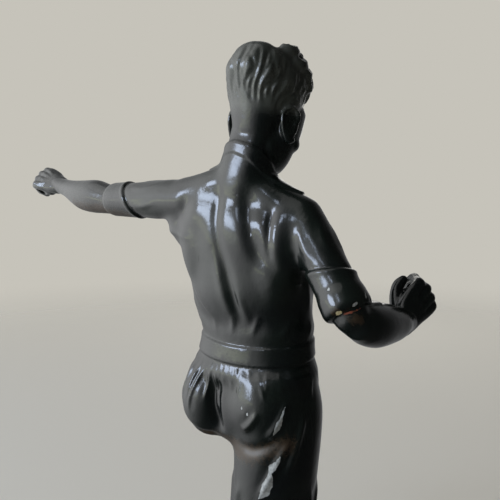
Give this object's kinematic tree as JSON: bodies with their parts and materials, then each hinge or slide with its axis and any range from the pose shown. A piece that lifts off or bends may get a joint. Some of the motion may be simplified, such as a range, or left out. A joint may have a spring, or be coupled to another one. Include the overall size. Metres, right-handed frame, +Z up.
{
  "type": "footballer sculpture",
  "caption": "Cast metal statue of a footballer in shirt and shorts, a leg raised to kick and an arm held out, in glossy dark enamel on a low plinth",
  "frame": {"origin": "middle of the plinth's underside, which rests on the ground or a shelf", "axes": "+Z up; the figure looks to -Y, and its left arm is held out to +X"},
  "size_m": [0.5104, 0.4115, 0.7269],
  "materials": {
    "figure_enamel": "glossy black-green enamel on cast zinc alloy, worn through in chips",
    "base_enamel": "glossy black-green enamel"
  },
  "bodies": {
    "root": {"figure": "figure_enamel", "base": "base_enamel"}
  },
  "joints": []
}
